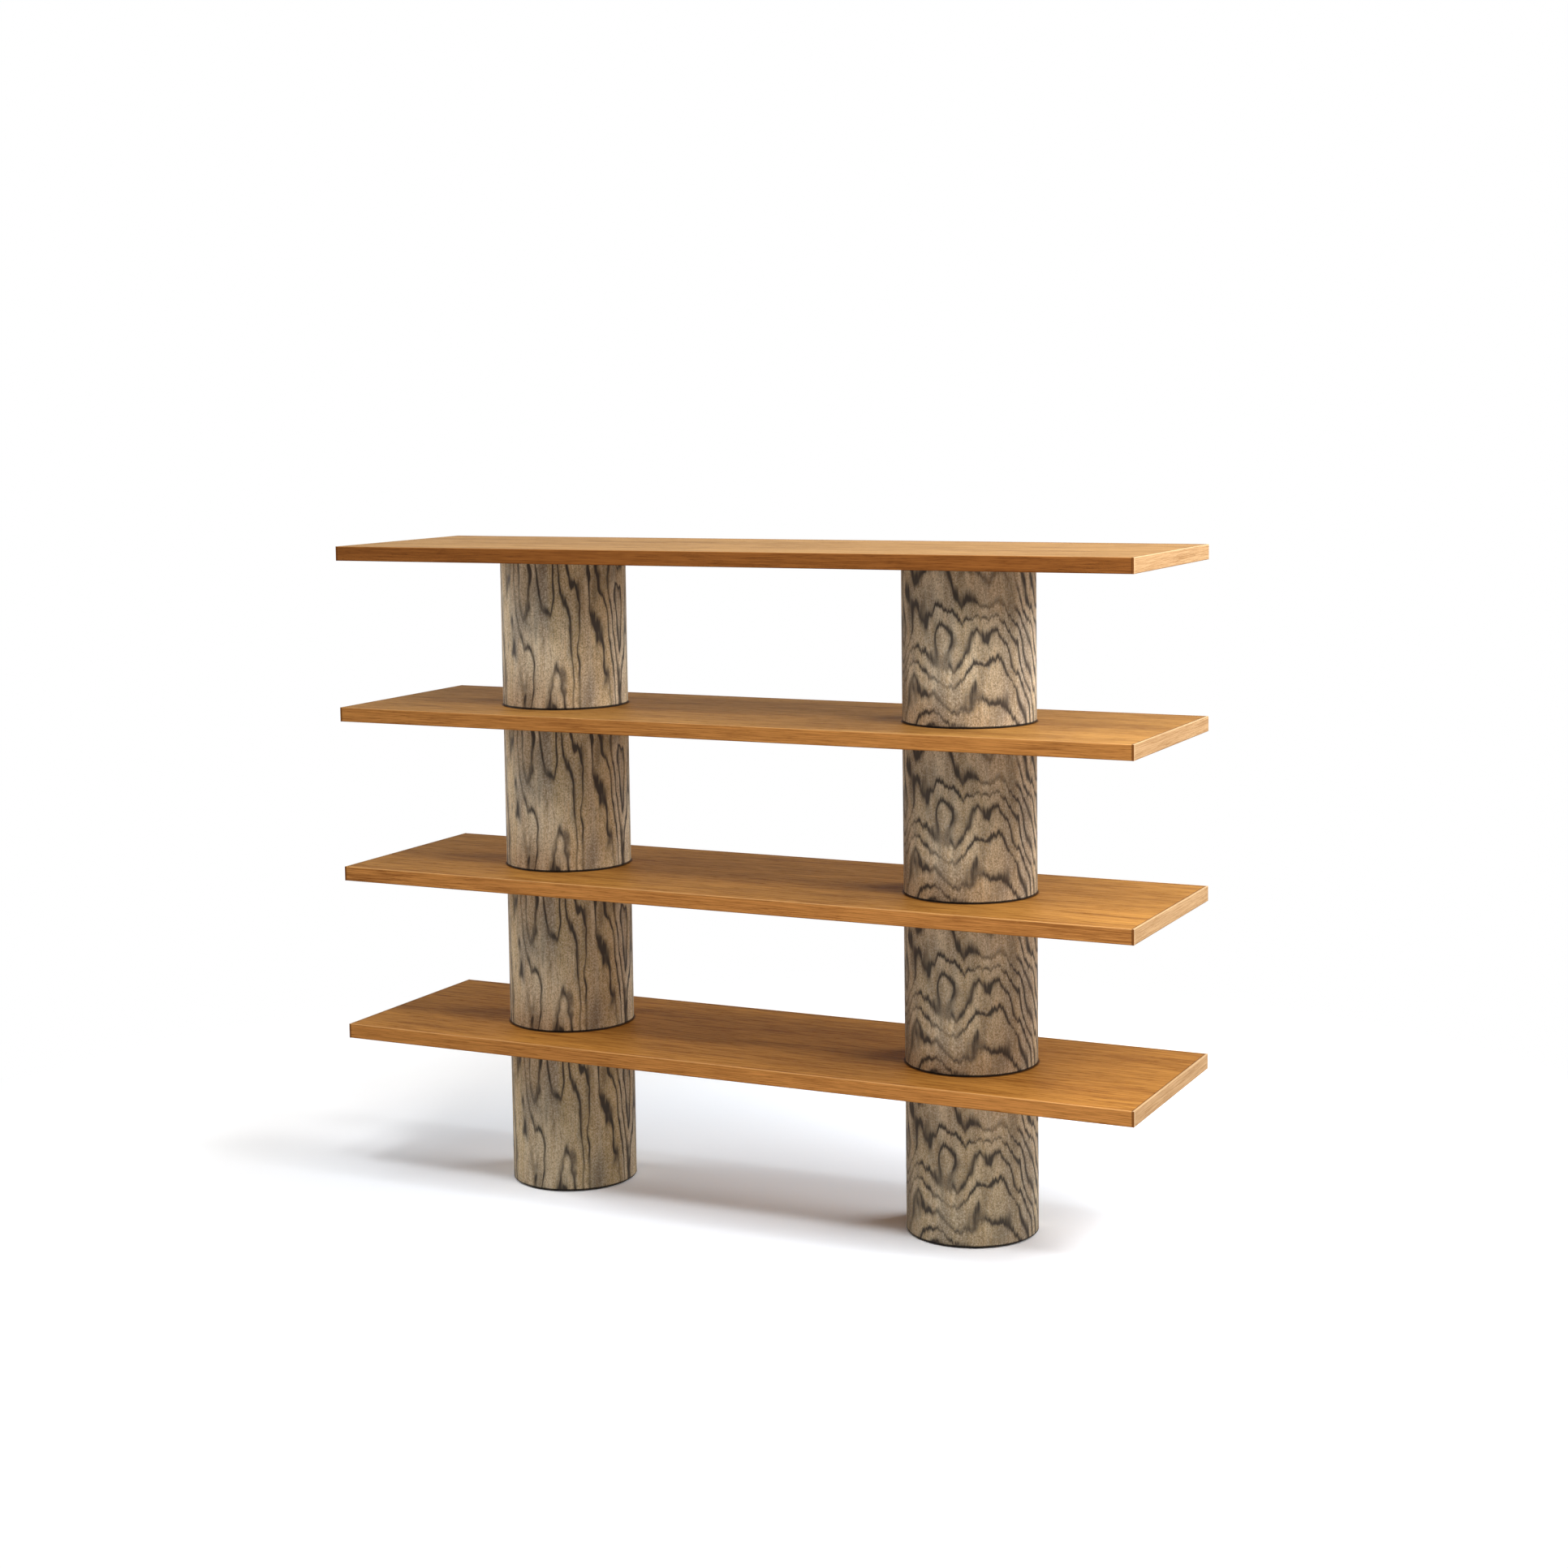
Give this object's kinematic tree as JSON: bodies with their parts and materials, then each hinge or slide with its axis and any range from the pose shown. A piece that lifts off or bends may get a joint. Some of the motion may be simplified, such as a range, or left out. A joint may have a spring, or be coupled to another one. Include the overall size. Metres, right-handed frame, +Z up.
{
  "type": "spine bookshelf",
  "caption": "Open bookcase of thin oak-veneered shelves stacked on twin cylindrical columns wrapped in dark-lined figured veneer, clamped by hidden tie rods.",
  "frame": {"origin": "on the floor, midway between the two columns and midway between front and back", "axes": "+Z up, +X along the shelves to the right as seen from the front, front faces -Y"},
  "size_m": [1.524, 0.406, 1.1863],
  "materials": {
    "oak_face": "clear satin lacquer",
    "oak_band": "clear satin lacquer",
    "board": "raw board",
    "bent_plywood": "raw birch ply",
    "figured_veneer": "matte lacquer over dark-lined figured veneer",
    "black_board": "black stain",
    "zinc_steel": "zinc plated",
    "insert_brass": "turned",
    "beech": "raw beech",
    "felt": "black wool felt"
  },
  "bodies": {
    "root": {"shelf_1_core": "board", "shelf_1_top_veneer": "oak_face", "shelf_1_bottom_veneer": "oak_face", "shelf_1_front_band": "oak_band", "shelf_1_back_band": "oak_band", "shelf_1_left_band": "oak_band", "shelf_1_right_band": "oak_band", "shelf_2_core": "board", "shelf_2_top_veneer": "oak_face", "shelf_2_bottom_veneer": "oak_face", "shelf_2_front_band": "oak_band", "shelf_2_back_band": "oak_band", "shelf_2_left_band": "oak_band", "shelf_2_right_band": "oak_band", "shelf_3_core": "board", "shelf_3_top_veneer": "oak_face", "shelf_3_bottom_veneer": "oak_face", "shelf_3_front_band": "oak_band", "shelf_3_back_band": "oak_band", "shelf_3_left_band": "oak_band", "shelf_3_right_band": "oak_band", "shelf_4_core": "board", "shelf_4_top_veneer": "oak_face", "shelf_4_bottom_veneer": "oak_face", "shelf_4_front_band": "oak_band", "shelf_4_back_band": "oak_band", "shelf_4_left_band": "oak_band", "shelf_4_right_band": "oak_band", "left_drum_1": "bent_plywood", "left_wrap_1": "figured_veneer", "left_discs_1": "black_board", "left_drum_2": "bent_plywood", "left_wrap_2": "figured_veneer", "left_discs_2": "black_board", "left_drum_3": "bent_plywood", "left_wrap_3": "figured_veneer", "left_discs_3": "black_board", "left_drum_4": "bent_plywood", "left_wrap_4": "figured_veneer", "left_discs_4": "black_board", "right_drum_1": "bent_plywood", "right_wrap_1": "figured_veneer", "right_discs_1": "black_board", "right_drum_2": "bent_plywood", "right_wrap_2": "figured_veneer", "right_discs_2": "black_board", "right_drum_3": "bent_plywood", "right_wrap_3": "figured_veneer", "right_discs_3": "black_board", "right_drum_4": "bent_plywood", "right_wrap_4": "figured_veneer", "right_discs_4": "black_board", "left_tie_rod": "zinc_steel", "right_tie_rod": "zinc_steel", "tie_rod_nuts": "zinc_steel", "tie_rod_washers": "zinc_steel", "top_shelf_inserts": "insert_brass", "through_dowels": "beech", "top_dowels": "beech", "foot_pads": "felt"}
  },
  "joints": []
}
